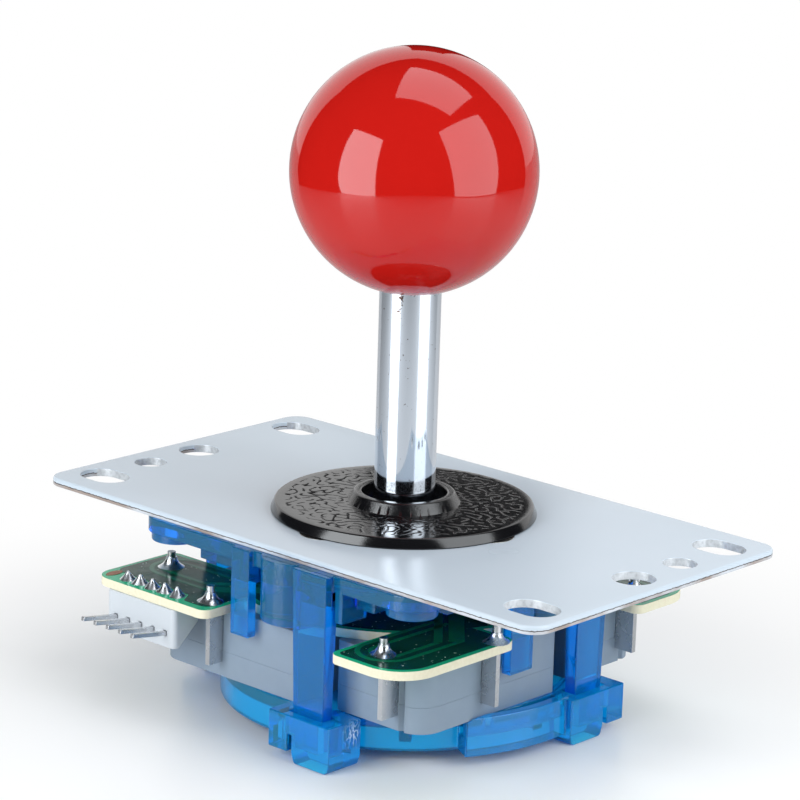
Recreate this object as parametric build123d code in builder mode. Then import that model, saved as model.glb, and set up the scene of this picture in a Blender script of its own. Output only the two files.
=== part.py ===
# Arcade joystick lever: a ball-top lever that tilts in a clear blue body under a steel panel plate,
# with four snap-action switches in a pinwheel, their circuit board, a harness header and a square gate.
# Millimetres. Origin: middle of the plate's top face, on the lever's axis. +Z is up towards the ball and
# +X along the plate's long side. What repeats on four sides is drawn for the +X side, where x is the
# distance out from the axis and y the distance along the side, and is then turned by quarters. Seen from
# the front, along +Y, the four sides are right, back, left and front.
import os
from math import cos, radians, sin, sqrt, tan

from build123d import *

os.makedirs("parts", exist_ok=True)

# Panel plate
plate_length = 95.0
plate_width = 53.0
plate_t = 1.2
plate_corner_r = 3.0
plate_edge_r = 0.35
slot_end_margin = 6.0
slot_side_margin = 6.5
slot_length = 8.0
slot_width = 5.8
round_hole_margin = 5.1
round_hole_r = 3.0
small_hole_margin = 5.1
small_hole_y = 10.0
small_hole_r = 2.4

# Countersunk screws that hold the plate on the body
screw_count = 4
screw_circle_r = 16.2
screw_head_r = 3.7
screw_head_slope_deg = 45.0
screw_shank_r = 1.6
screw_length = 6.6
screw_drive_width = 0.9
screw_drive_length = 3.8
screw_drive_depth = 1.0
screw_drive_taper_deg = 10.0

# Ball, insert and shaft
ball_r = 17.5
ball_centre_z = 49.5
ball_flat_r = 5.6
insert_r = 4.6
insert_length = 13.0
insert_recess = 0.3
stud_r = 3.0
stud_length = 12.0
shaft_r = 4.4
shaft_lower_r = 3.9
shaft_tail_r = 3.0
shaft_tail_below_clip = 1.3
shaft_slot_width = 1.0
shaft_slot_depth = 0.9
shaft_chamfer = 0.4
tilt_deg = 7.0

# Dust washer, loose on the plate round the shaft
washer_r = 19.2
washer_top_r = 18.5
washer_t = 1.5
washer_height = 3.05
washer_collar_wall = 1.17
washer_collar_foot = 0.35
washer_edge_chamfer = 0.3

# Body
deck_size = 54.0
deck_corner_r = 4.0
deck_t = 2.25
web_h = 2.65
web_width = 34.0
web_reach = 48.0
spigot_wall = 2.0
spigot_sink = 0.15
corner_disc_r = 3.55
corner_disc_h = 1.3
screw_boss_r = 3.2
screw_boss_h = 2.3
post_r = 4.6
post_along = 1.9
post_inset = 0.2
post_h = 9.1
leg_width = 6.4
leg_t = 2.6
leg_gap = 0.3
leg_centre_along = 8.9
leg_draft_deg = 1.0
leg_end_room = 1.0
root_depth = 5.0
rib_along = 13.1
rib_width = 1.4
rib_h = 4.35
arm_t = 1.6
arm_gap = 0.6
side_arm_along = -5.15
side_arm_width = 3.5
side_arm_below_board = 2.3
end_arm_along = -5.45
end_arm_width = 4.7
end_arm_below_board = 4.4
skirt_wall = 1.8
skirt_overhang = 0.2

# Pivot, spring seat and centring spring
pivot_depth = 3.8
pivot_r = 7.0
pivot_half_h = 4.0
socket_overlap = 3.0
seat_wall = 3.3
seat_h = 3.0
seat_bore_r = 6.0
spring_wire_r = 0.5
spring_turns = 5.5
spring_wire_side_count = 6

# Switches
switch_back_out = 25.6
switch_depth = 15.9
switch_length = 27.9
switch_h = 10.2
switch_overhang = 4.5
switch_edge_r = 0.6
switch_round_r = 3.6
switch_groove_width = 0.8
cover_h = 3.8
plunger_r = 1.6
plunger_out = 1.8
plunger_length = 6.1
plunger_bore_spare = 0.7
plunger_drop = 4.2
plunger_tip_chamfer = 0.9
blade_t = 0.8
blade_drop = 8.0
blade_root = 1.5
blade_root_h = 4.0
blade_slot_room = 0.6
common_blade_in = 4.7
common_blade_reach = 3.2
open_blade_along_end = 12.5
open_blade_reach = 2.6

# Circuit board, solder and header
board_t = 1.3
board_disc_r = 24.4
board_bore_r = 12.4
lobe_past_front = 5.8
lobe_past_back = 3.5
lobe_past_end = 7.9
lobe_past_blade = 2.7
lobe_corner_r = 1.6
lobe_round_r = 6.0
header_lobe_round_r = 3.0
header_lobe_past_back = 5.9
pin_r = 0.6
pin_inset = 0.45
pin_above_board = 2.4
solder_r = 1.9
solder_h = 1.5
solder_neck_t = 0.25
solder_knee_share = 1 / 3
header_pin_count = 5
header_pin_pitch = 2.55
header_pin_width = 0.64
header_pin_inset = 2.05
header_pin_along_end = 10.3
header_pin_drop = 3.7
header_pin_reach = 6.4
header_pin_bend_deg = 9.0
header_pin_above_board = 0.9
header_end_margin = 1.9
header_front_t = 2.35
header_back_t = 2.9
header_h = 5.8
header_heel = 1.0
header_knee_h = 2.6
header_knee_back = 0.6
header_corner_r = 0.8
header_solder_r = 1.15
header_solder_h = 1.1

# Actuator and clip on the lower end of the shaft
actuator_wall = 1.0
actuator_floor_t = 1.2
actuator_lift = 1.2
actuator_top_room = 1.0
actuator_band_h = 3.6
actuator_base_inset = 0.5
neck_r = 5.0
neck_above_bottom = 1.8
clip_r = 4.4
clip_t = 0.7
clip_groove_depth = 0.7
clip_mouth_width = 3.6

# Gate
gate_r = 25.9
gate_h = 5.2
gate_floor_t = 2.0
gate_wall = 1.5
gate_collar_r = 15.4
gate_collar_rise = 0.6
gate_corner_r = 1.5
gate_rib_count = 8
gate_rib_t = 1.5
gate_rib_rise = 1.2
block_out = 30.0
block_depth = 6.4
block_start = 3.2
block_end = 14.8
block_extra_h = 0.2
foot_drop = 1.6
foot_wide = 7.2
foot_gap = 0.8
foot_draft = 0.5
foot_corner_r = 0.7
foot_notch_h = 2.4
rim_wall = 1.4
rim_rise = 0.4
rim_trough_gap = 0.4
rim_trough_width = 1.4
rim_trough_depth = 2.6
rim_start_deg = -28.7
rim_end_deg = 8.0

# Clearances
seat_clearance = 0.02
running_clearance = 0.05
socket_clearance = 0.12
loose_clearance = 0.2
plunger_clearance = 0.2
gate_clearance = 0.25
spring_clearance = 0.3
pocket_clearance = 0.35
washer_clearance = 0.68
screw_tip_room = 0.5

# Levels, from the plate's top face down
deck_top = -plate_t
deck_bottom = deck_top - deck_t
web_bottom = deck_bottom - web_h
pivot_z = deck_top - pivot_depth
seat_bottom = web_bottom - seat_h
board_top = deck_top - post_h
board_bottom = board_top - board_t
switch_bottom = board_bottom - switch_h
switch_split = switch_bottom + cover_h
plunger_z = board_bottom - plunger_drop
gate_top = switch_bottom
gate_floor = gate_top - gate_floor_t
gate_bottom = gate_top - gate_h
block_bottom = gate_bottom - block_extra_h
foot_bottom = gate_bottom - foot_drop
actuator_top = board_bottom - actuator_top_room
actuator_band_bottom = plunger_z - actuator_band_h / 2
actuator_bottom = gate_top + actuator_lift
actuator_floor = actuator_bottom + actuator_floor_t
neck_bottom = gate_bottom + neck_above_bottom
clip_bottom = neck_bottom - running_clearance - clip_t
shaft_shoulder = pivot_z + pivot_half_h + running_clearance
shaft_bottom = clip_bottom - shaft_tail_below_clip

# Places and radii that follow from what they fit
slot_spacing_x = plate_length - 2 * slot_end_margin
slot_spacing_y = plate_width - 2 * slot_side_margin
round_hole_spacing = plate_length - 2 * round_hole_margin
small_hole_x = plate_length / 2 - small_hole_margin
tilt_slope = tan(radians(tilt_deg))
tilt_spread = 1 / cos(radians(tilt_deg))
socket_r = pivot_r + socket_clearance
pivot_end_r = sqrt(pivot_r**2 - pivot_half_h**2)
mouth_r = sqrt(socket_r**2 - socket_overlap**2)
mouth_z = pivot_z + socket_overlap
spigot_top = -spigot_sink
spigot_r = mouth_r + spigot_top - mouth_z + spigot_wall
seat_r = socket_r + seat_wall
seat_lip_z = pivot_z - sqrt(socket_r**2 - seat_bore_r**2)
washer_hole_r = shaft_r * tilt_spread + (washer_height - pivot_z) * tilt_slope + washer_clearance
washer_collar_r = washer_hole_r + washer_collar_wall
ball_flat_z = ball_centre_z - sqrt(ball_r**2 - ball_flat_r**2)
insert_bottom = ball_flat_z + insert_recess
insert_top = insert_bottom + insert_length
switch_front_out = switch_back_out - switch_depth
switch_end = switch_overhang - switch_length
plunger_tip_out = switch_front_out - plunger_out
actuator_r = plunger_tip_out - plunger_clearance
actuator_bore_r = actuator_r - actuator_wall
spring_r = actuator_bore_r - spring_clearance - spring_wire_r
clip_groove_r = shaft_tail_r - clip_groove_depth
gate_half = neck_r * tilt_spread + (pivot_z - neck_bottom) * tilt_slope + gate_clearance
common_out = switch_back_out - common_blade_in
open_along = switch_end + open_blade_along_end
common_pin = (common_out, switch_end - common_blade_reach + pin_inset)
open_pin = (switch_back_out + open_blade_reach - pin_inset, open_along)
lobe_in = switch_front_out + lobe_past_front
lobe_out = switch_back_out + lobe_past_back
lobe_low = switch_end - lobe_past_end
lobe_high = open_along + lobe_past_blade
header_lobe_out = switch_back_out + header_lobe_past_back
header_pin_out = header_lobe_out - header_pin_inset
header_along = lobe_low + header_pin_along_end
header_side = 3
header_front_out = header_pin_out + header_front_t
header_back_out = header_pin_out - header_back_t
header_width = (header_pin_count - 1) * header_pin_pitch + 2 * header_end_margin
header_pin_z = board_bottom - header_pin_drop
header_hole_r = header_pin_width / sqrt(2) + seat_clearance
plunger_travel = (pivot_z - plunger_z) * radians(tilt_deg)
trough_in = gate_r + rim_trough_gap
trough_out = trough_in + rim_trough_width
rim_r = trough_out + rim_wall
leg_face_out = switch_back_out + leg_gap + leg_t
leg_end = block_bottom + leg_end_room
arm_face_out = switch_back_out + arm_gap + arm_t
deck_half = deck_size / 2
post_out = board_disc_r - post_inset
side_names = ("right", "back", "left", "front")
sides = range(len(side_names))


def side_plan(side, z):
    return Plane.XY.offset(z).rotated((0, 0, 90 * side))


def side_face(side, out):
    outward = Vector(1, 0, 0).rotate(Axis.Z, 90 * side)
    return Plane(origin=outward * out, x_dir=outward.rotate(Axis.Z, 90), z_dir=outward)


def half_section(angle):
    outward = Vector(1, 0, 0).rotate(Axis.Z, angle)
    return Plane(origin=(0, 0, 0), x_dir=outward, z_dir=outward.rotate(Axis.Z, -90))


def export(builder, name):
    builder.part.label = name
    export_step(builder.part, f"parts/{name}.step")


# Plate: blanked outline with slots for the panel bolts and countersinks for the body's screws
with BuildPart() as mounting_plate:
    with BuildSketch():
        RectangleRounded(plate_length, plate_width, plate_corner_r)
        with GridLocations(slot_spacing_x, slot_spacing_y, 2, 2):
            SlotOverall(slot_length, slot_width, mode=Mode.SUBTRACT)
        with GridLocations(round_hole_spacing, 0, 2, 1):
            Circle(round_hole_r, mode=Mode.SUBTRACT)
        with Locations((-small_hole_x, -small_hole_y), (small_hole_x, small_hole_y)):
            Circle(small_hole_r, mode=Mode.SUBTRACT)
        Circle(spigot_r + loose_clearance, mode=Mode.SUBTRACT)
    extrude(amount=-plate_t)
    fillet(mounting_plate.faces().sort_by(Axis.Z)[-1].outer_wire().edges(), plate_edge_r)
    with BuildSketch():
        with PolarLocations(screw_circle_r, screw_count):
            Circle(screw_head_r)
    extrude(amount=-plate_t, taper=screw_head_slope_deg, mode=Mode.SUBTRACT)
export(mounting_plate, "mounting_plate")

# One countersunk screw with a cross drive, then the set of them
screw_top = -seat_clearance
head_h = (screw_head_r - screw_shank_r) / tan(radians(screw_head_slope_deg))
with BuildPart() as screw:
    with BuildSketch(Plane.XY.offset(screw_top)):
        Circle(screw_head_r - seat_clearance)
    extrude(amount=-head_h, taper=screw_head_slope_deg)
    with BuildSketch(Plane.XY.offset(screw_top)):
        Circle(screw_shank_r - seat_clearance)
    extrude(amount=-screw_length)
    with BuildSketch(Plane.XY.offset(screw_top)):
        Rectangle(screw_drive_length, screw_drive_width)
        Rectangle(screw_drive_width, screw_drive_length)
    extrude(amount=-screw_drive_depth, taper=screw_drive_taper_deg, mode=Mode.SUBTRACT)
with BuildPart() as plate_screws:
    with PolarLocations(screw_circle_r, screw_count):
        add(screw.part)
export(plate_screws, "plate_screws")

# Body: deck and cross web with a spigot through the plate, posts that sit on the board, legs that drop into
# the gate and arms that guide the switches; a ball socket is turned into its middle
with BuildPart() as main_body:
    with BuildSketch(Plane.XY.offset(deck_top)):
        RectangleRounded(deck_size, deck_size, deck_corner_r)
    extrude(amount=-deck_t)
    with BuildSketch(Plane.XY.offset(deck_bottom)):
        Rectangle(web_width, web_reach)
        Rectangle(web_reach, web_width)
    extrude(amount=-web_h)
    with BuildSketch(Plane.XY.offset(deck_bottom)):
        with GridLocations(deck_size - 2 * deck_corner_r, deck_size - 2 * deck_corner_r, 2, 2):
            Circle(corner_disc_r)
    extrude(amount=-corner_disc_h)
    with BuildSketch(Plane.XY.offset(spigot_top)):
        Circle(spigot_r)
    extrude(until=Until.NEXT, dir=(0, 0, -1))
    with BuildSketch(Plane.XY.offset(web_bottom)):
        with PolarLocations(screw_circle_r, screw_count):
            Circle(screw_boss_r)
    extrude(amount=-screw_boss_h)
    with BuildSketch(Plane.XY.offset(web_bottom)):
        Circle(seat_r + loose_clearance + skirt_wall)
        Circle(seat_r + loose_clearance, mode=Mode.SUBTRACT)
    extrude(amount=-seat_h - skirt_overhang)
    with BuildSketch(Plane.XY.offset(deck_top)):
        with PolarLocations(0, len(sides)):
            with Locations((post_out, post_along)):
                Circle(post_r)
    extrude(amount=-post_h)
    with BuildSketch(Plane.XY.offset(deck_top)):
        with PolarLocations(0, len(sides)):
            with Locations((leg_face_out - leg_t / 2, leg_centre_along)):
                Rectangle(leg_t, leg_width)
    extrude(amount=leg_end - deck_top, taper=leg_draft_deg)
    with BuildSketch(Plane.XY.offset(deck_top)):
        root_in = deck_half - root_depth
        root_out = leg_face_out - leg_t / 2
        with PolarLocations(0, len(sides)):
            with Locations(((root_in + root_out) / 2, leg_centre_along)):
                Rectangle(root_out - root_in, leg_width)
    extrude(amount=web_bottom - deck_top)
    with BuildSketch(Plane.XY.offset(deck_bottom)):
        with PolarLocations(0, len(sides)):
            with Locations((deck_half - root_depth / 2, rib_along)):
                Rectangle(root_depth, rib_width)
    extrude(amount=-rib_h)
    # Guide arms: the pair on the plate's long sides is narrower and shorter than the pair at its ends
    for side in sides:
        if side % 2:
            along, width, below_board = side_arm_along, side_arm_width, side_arm_below_board
        else:
            along, width, below_board = end_arm_along, end_arm_width, end_arm_below_board
        with BuildSketch(side_face(side, arm_face_out)):
            with Locations((along, (deck_top + board_bottom - below_board) / 2)):
                Rectangle(width, deck_top - board_bottom + below_board)
        extrude(amount=-arm_t)
        with BuildSketch(side_face(side, arm_face_out)):
            with Locations((along, (deck_top + web_bottom) / 2)):
                Rectangle(width, deck_top - web_bottom)
        extrude(amount=deck_half - root_depth - arm_face_out)
    # Ball socket: straight throat from below, sphere, and a mouth that opens for the tilting shaft
    with BuildSketch(Plane.XZ):
        with BuildLine():
            mouth = Line((mouth_r, mouth_z), (mouth_r + spigot_top - mouth_z, spigot_top))
            across = Line(mouth @ 1, (0, spigot_top))
            middle = Line(across @ 1, (0, web_bottom))
            under = Line(middle @ 1, (socket_r, web_bottom))
            throat = Line(under @ 1, (socket_r, pivot_z))
            RadiusArc(throat @ 1, mouth @ 0, -socket_r)
        make_face()
    revolve(axis=Axis.Z, mode=Mode.SUBTRACT)
    with BuildSketch():
        with PolarLocations(screw_circle_r, screw_count):
            Circle(screw_head_r)
    extrude(amount=-head_h, taper=screw_head_slope_deg, mode=Mode.SUBTRACT)
    with BuildSketch():
        with PolarLocations(screw_circle_r, screw_count):
            Circle(screw_shank_r)
    extrude(amount=screw_top - screw_length - screw_tip_room, mode=Mode.SUBTRACT)
export(main_body, "main_body")

# Pivot: a ball cut flat at both ends, bored for the shaft
with BuildPart() as pivot_ball:
    with BuildSketch(Plane.XZ):
        with BuildLine():
            bore_r = shaft_lower_r + running_clearance
            bore = Line((bore_r, pivot_z - pivot_half_h), (bore_r, pivot_z + pivot_half_h))
            top = Line(bore @ 1, (pivot_end_r, pivot_z + pivot_half_h))
            ball_side = RadiusArc(top @ 1, (pivot_end_r, pivot_z - pivot_half_h), pivot_r)
            Line(ball_side @ 1, bore @ 0)
        make_face()
    revolve(axis=Axis.Z)
export(pivot_ball, "pivot_ball")

# Spring seat: closes the socket from below and carries the upper end of the spring
with BuildPart() as spring_seat:
    with BuildSketch(Plane.XZ):
        with BuildLine():
            seat_mouth_r = sqrt(socket_r**2 - (pivot_z - web_bottom) ** 2)
            cup = RadiusArc((seat_mouth_r, web_bottom), (seat_bore_r, seat_lip_z), socket_r)
            lip = Line(cup @ 1, (seat_bore_r, seat_bottom))
            under = Line(lip @ 1, (seat_r, seat_bottom))
            rim = Line(under @ 1, (seat_r, web_bottom))
            Line(rim @ 1, cup @ 0)
        make_face()
    revolve(axis=Axis.Z)
export(spring_seat, "spring_seat")

# Centring spring between the seat and the actuator's floor, its round wire drawn with a few flats
spring_low = actuator_floor + running_clearance + spring_wire_r
spring_height = seat_bottom - running_clearance - spring_wire_r - spring_low
with BuildPart() as centering_spring:
    with BuildLine() as coil:
        Helix(spring_height / spring_turns, spring_height, spring_r, center=(0, 0, spring_low))
    with BuildSketch(Plane(origin=coil.line @ 0, z_dir=coil.line % 0)):
        RegularPolygon(spring_wire_r, spring_wire_side_count)
    sweep(path=coil.line, is_frenet=True)
export(centering_spring, "centering_spring")

# Actuator: cup round the spring that presses the plungers, with a neck that meets the gate
with BuildPart() as actuator:
    with BuildSketch(Plane.XZ):
        with BuildLine():
            hole_r = shaft_tail_r + running_clearance
            Polyline(
                (hole_r, neck_bottom),
                (neck_r, neck_bottom),
                (neck_r, actuator_bottom),
                (actuator_r - actuator_base_inset, actuator_bottom),
                (actuator_r, actuator_band_bottom),
                (actuator_r, actuator_top),
                (actuator_bore_r, actuator_top),
                (actuator_bore_r, actuator_floor),
                (hole_r, actuator_floor),
                close=True,
            )
        make_face()
    revolve(axis=Axis.Z)
export(actuator, "actuator")

# Clip in the shaft's groove under the actuator
with BuildPart() as e_clip:
    with BuildSketch(Plane.XY.offset(clip_bottom)):
        Circle(clip_r)
        Circle(clip_groove_r + running_clearance, mode=Mode.SUBTRACT)
        with Locations((clip_r, 0)):
            Rectangle(2 * clip_r, clip_mouth_width, mode=Mode.SUBTRACT)
    extrude(amount=clip_t)
export(e_clip, "e_clip")

# Shaft: plated bar with a shoulder over the pivot, a step at the actuator, a clip groove and a threaded stud
with BuildPart() as shaft:
    with BuildSketch(Plane.XZ):
        with BuildLine():
            groove_top = clip_bottom + clip_t + running_clearance
            groove_bottom = clip_bottom - running_clearance
            Polyline(
                (0, shaft_bottom),
                (shaft_tail_r - shaft_chamfer, shaft_bottom),
                (shaft_tail_r, shaft_bottom + shaft_chamfer),
                (shaft_tail_r, groove_bottom),
                (clip_groove_r, groove_bottom),
                (clip_groove_r, groove_top),
                (shaft_tail_r, groove_top),
                (shaft_tail_r, actuator_floor + running_clearance),
                (shaft_lower_r, actuator_floor + running_clearance),
                (shaft_lower_r, shaft_shoulder),
                (shaft_r, shaft_shoulder),
                (shaft_r, insert_bottom - shaft_chamfer),
                (shaft_r - shaft_chamfer, insert_bottom),
                (stud_r, insert_bottom),
                (stud_r, insert_bottom + stud_length - shaft_chamfer),
                (stud_r - shaft_chamfer, insert_bottom + stud_length),
                (0, insert_bottom + stud_length),
                close=True,
            )
        make_face()
    revolve(axis=Axis.Z)
    with BuildSketch(Plane.XY.offset(shaft_bottom)):
        Rectangle(2 * shaft_tail_r, shaft_slot_width)
    extrude(amount=shaft_slot_depth, mode=Mode.SUBTRACT)
export(shaft, "shaft")

# Ball with its threaded insert
with BuildPart() as ball_insert:
    with BuildSketch(Plane.XY.offset(insert_bottom)):
        Circle(insert_r)
        Circle(stud_r + seat_clearance, mode=Mode.SUBTRACT)
    extrude(amount=insert_length)
export(ball_insert, "ball_insert")

with BuildPart() as ball_top:
    with BuildSketch(Plane.XZ):
        with BuildLine():
            bore_r = insert_r + seat_clearance
            bore_top = Line((0, insert_top), (bore_r, insert_top))
            bore = Line(bore_top @ 1, (bore_r, ball_flat_z))
            flat = Line(bore @ 1, (ball_flat_r, ball_flat_z))
            low = ThreePointArc(flat @ 1, (ball_r, ball_centre_z), (0, ball_centre_z + ball_r))
            Line(low @ 1, bore_top @ 0)
        make_face()
    revolve(axis=Axis.Z)
export(ball_top, "ball_top")

# Dust washer: flat disc with a turned-down edge and a collar round the shaft
with BuildPart() as dust_washer:
    with BuildSketch(Plane.XZ):
        with BuildLine():
            Polyline(
                (washer_hole_r, 0),
                (washer_r, 0),
                (washer_top_r, washer_t),
                (washer_collar_r + washer_collar_foot, washer_t),
                (washer_collar_r, washer_height),
                (washer_hole_r, washer_height),
                close=True,
            )
        make_face()
    revolve(axis=Axis.Z)
    chamfer(dust_washer.edges().filter_by(GeomType.CIRCLE).group_by(Axis.Z)[-1], washer_edge_chamfer)
export(dust_washer, "dust_washer")


# One switch: case, cover, plunger and the two blades that are soldered to the board
def build_switch(side):
    with BuildSketch(side_plan(side, switch_split)) as outline:
        with Locations((switch_front_out, switch_end)):
            Rectangle(switch_depth, switch_length, align=Align.MIN)
        far_corner = (switch_back_out, switch_end, 0)
        fillet(outline.vertices().sort_by_distance(far_corner)[1:], switch_edge_r)
        fillet(outline.vertices().sort_by_distance(far_corner)[0], switch_round_r)
        with Locations((switch_back_out - switch_round_r, switch_end)):
            Rectangle(switch_groove_width, switch_groove_width, rotation=45, mode=Mode.SUBTRACT)

    # Each blade's plane, then its tip, the case face it leaves and its root, measured in that plane
    blades = (
        (side_face(side, common_out), switch_end - common_blade_reach, switch_end, switch_end + blade_root),
        (
            half_section(90 * side).offset(-open_along),
            switch_back_out + open_blade_reach,
            switch_back_out,
            switch_back_out - blade_root,
        ),
    )
    root_z = (board_bottom + switch_split) / 2

    with BuildPart() as switch_case:
        add(outline.sketch)
        extrude(amount=switch_h - cover_h)
        with BuildSketch(side_face(side, switch_front_out)):
            with Locations((0, plunger_z)):
                Circle(plunger_r + running_clearance)
        bore_depth = plunger_length - plunger_out + plunger_travel + plunger_bore_spare
        extrude(amount=bore_depth, mode=Mode.SUBTRACT)
        for plane, tip, face, root in blades:
            with BuildSketch(plane):
                with Locations((face, root_z)):
                    Rectangle(2 * (blade_root + seat_clearance), blade_root_h + 2 * blade_slot_room)
            extrude(amount=blade_t / 2 + seat_clearance, both=True, mode=Mode.SUBTRACT)
    export(switch_case, f"switch_case_{side_names[side]}")

    with BuildPart() as switch_cover:
        add(outline.sketch)
        extrude(amount=-cover_h)
    export(switch_cover, f"switch_cover_{side_names[side]}")

    with BuildPart() as plunger:
        with BuildSketch(side_face(side, plunger_tip_out)):
            with Locations((0, plunger_z)):
                Circle(plunger_r)
        extrude(amount=plunger_length)
        tip_edge = plunger.edges().filter_by(GeomType.CIRCLE).sort_by_distance((0, 0, plunger_z))[0]
        chamfer(tip_edge, plunger_tip_chamfer)
    export(plunger, f"plunger_{side_names[side]}")

    with BuildPart() as terminals:
        for plane, tip, face, root in blades:
            with BuildSketch(plane):
                with Locations(((tip + face) / 2, board_bottom)):
                    Rectangle(abs(tip - face), blade_drop, align=(Align.CENTER, Align.MAX))
                with Locations(((face + root) / 2, root_z)):
                    Rectangle(blade_root, blade_root_h)
            extrude(amount=blade_t / 2, both=True)
        with BuildSketch(side_plan(side, board_bottom)):
            with Locations(common_pin, open_pin):
                Circle(pin_r)
        extrude(amount=board_t + pin_above_board)
    export(terminals, f"terminals_{side_names[side]}")


for side in sides:
    build_switch(side)

# Circuit board: a bored disc with one lobe for each switch's soldered blades, the header's lobe reaching further
with BuildPart() as switch_board:
    with BuildSketch(Plane.XY.offset(board_bottom)):
        Circle(board_disc_r)
    extrude(amount=board_t)
    for side in sides:
        if side == header_side:
            reach, round_r = header_lobe_out, header_lobe_round_r
        else:
            reach, round_r = lobe_out, lobe_round_r
        with BuildSketch(side_plan(side, board_bottom)) as lobe:
            with Locations((lobe_in, lobe_low)):
                Rectangle(reach - lobe_in, lobe_high - lobe_low, align=Align.MIN)
            outer_corner = (reach, lobe_low, 0)
            fillet(lobe.vertices().sort_by_distance(outer_corner)[1:], lobe_corner_r)
            fillet(lobe.vertices().sort_by_distance(outer_corner)[0], round_r)
        extrude(amount=board_t)
    with BuildSketch(Plane.XY.offset(board_bottom)):
        Circle(board_bore_r)
        with PolarLocations(0, len(sides)):
            with Locations(common_pin, open_pin):
                Circle(pin_r + running_clearance)
        with Locations((header_along, -header_pin_out)):
            with GridLocations(header_pin_pitch, 0, header_pin_count, 1):
                Circle(header_hole_r)
    extrude(amount=board_t, mode=Mode.SUBTRACT)
export(switch_board, "switch_board")


# One solder joint: a hollow cone whose flank turns up from a low skirt
def solder_cone(bore_r, base_r, height):
    with BuildPart() as cone:
        with BuildSketch(Plane.XZ):
            with BuildLine():
                neck_r = bore_r + solder_neck_t
                Polyline(
                    (bore_r, board_top),
                    (base_r, board_top),
                    ((base_r + neck_r) / 2, board_top + height * solder_knee_share),
                    (neck_r, board_top + height),
                    (bore_r, board_top + height),
                    close=True,
                )
            make_face()
        revolve(axis=Axis.Z)
    return cone.part


blade_solder = solder_cone(pin_r + seat_clearance, solder_r, solder_h)
header_solder = solder_cone(header_hole_r, header_solder_r, header_solder_h)
with BuildPart() as solder_joints:
    with PolarLocations(0, len(sides)):
        with Locations(common_pin, open_pin):
            add(blade_solder)
    with Locations((header_along, -header_pin_out)):
        with GridLocations(header_pin_pitch, 0, header_pin_count, 1):
            add(header_solder)
export(solder_joints, "solder_joints")

# Header: pins in a wedge-backed housing under the board, bent up a little outside it
header_plane = half_section(90 * header_side)
pin_half = header_pin_width / 2
pin_bend = radians(header_pin_bend_deg)
pin_mitre = pin_half * tan(pin_bend / 2)
pin_tip = (header_front_out + header_pin_reach * cos(pin_bend), header_pin_z + header_pin_reach * sin(pin_bend))
pin_places = [header_along + (i - (header_pin_count - 1) / 2) * header_pin_pitch for i in range(header_pin_count)]
with BuildPart() as header_pins:
    for along in pin_places:
        with BuildSketch(header_plane.offset(-along)):
            with BuildLine():
                Polyline(
                    (header_pin_out - pin_half, board_top + header_pin_above_board),
                    (header_pin_out - pin_half, header_pin_z - pin_half),
                    (header_front_out + pin_mitre, header_pin_z - pin_half),
                    (pin_tip[0] + pin_half * sin(pin_bend), pin_tip[1] - pin_half * cos(pin_bend)),
                    (pin_tip[0] - pin_half * sin(pin_bend), pin_tip[1] + pin_half * cos(pin_bend)),
                    (header_front_out - pin_mitre, header_pin_z + pin_half),
                    (header_pin_out + pin_half, header_pin_z + pin_half),
                    (header_pin_out + pin_half, board_top + header_pin_above_board),
                    close=True,
                )
            make_face()
        extrude(amount=pin_half, both=True)
export(header_pins, "header_pins")

with BuildPart() as header_housing:
    with BuildSketch(header_plane.offset(-header_along)):
        with BuildLine():
            Polyline(
                (header_back_out, board_bottom),
                (header_front_out, board_bottom),
                (header_front_out, board_bottom - header_h),
                (header_front_out - header_heel, board_bottom - header_h),
                (header_back_out + header_knee_back, board_bottom - header_knee_h),
                close=True,
            )
        make_face()
    extrude(amount=header_width / 2, both=True)
    front_corners = header_housing.edges().filter_by(Axis.Z).group_by(Axis.Y)[0]
    fillet(front_corners, header_corner_r)
    for along in pin_places:
        with BuildSketch(header_plane.offset(-along)):
            slot = header_pin_width + 2 * seat_clearance
            with Locations((header_pin_out, header_pin_z - slot / 2)):
                Rectangle(slot, board_bottom - header_pin_z + slot / 2, align=(Align.CENTER, Align.MIN))
            with Locations((header_pin_out, header_pin_z)):
                Rectangle(header_front_t, slot, align=(Align.MIN, Align.CENTER))
        extrude(amount=slot / 2, both=True, mode=Mode.SUBTRACT)
export(header_housing, "header_housing")

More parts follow.
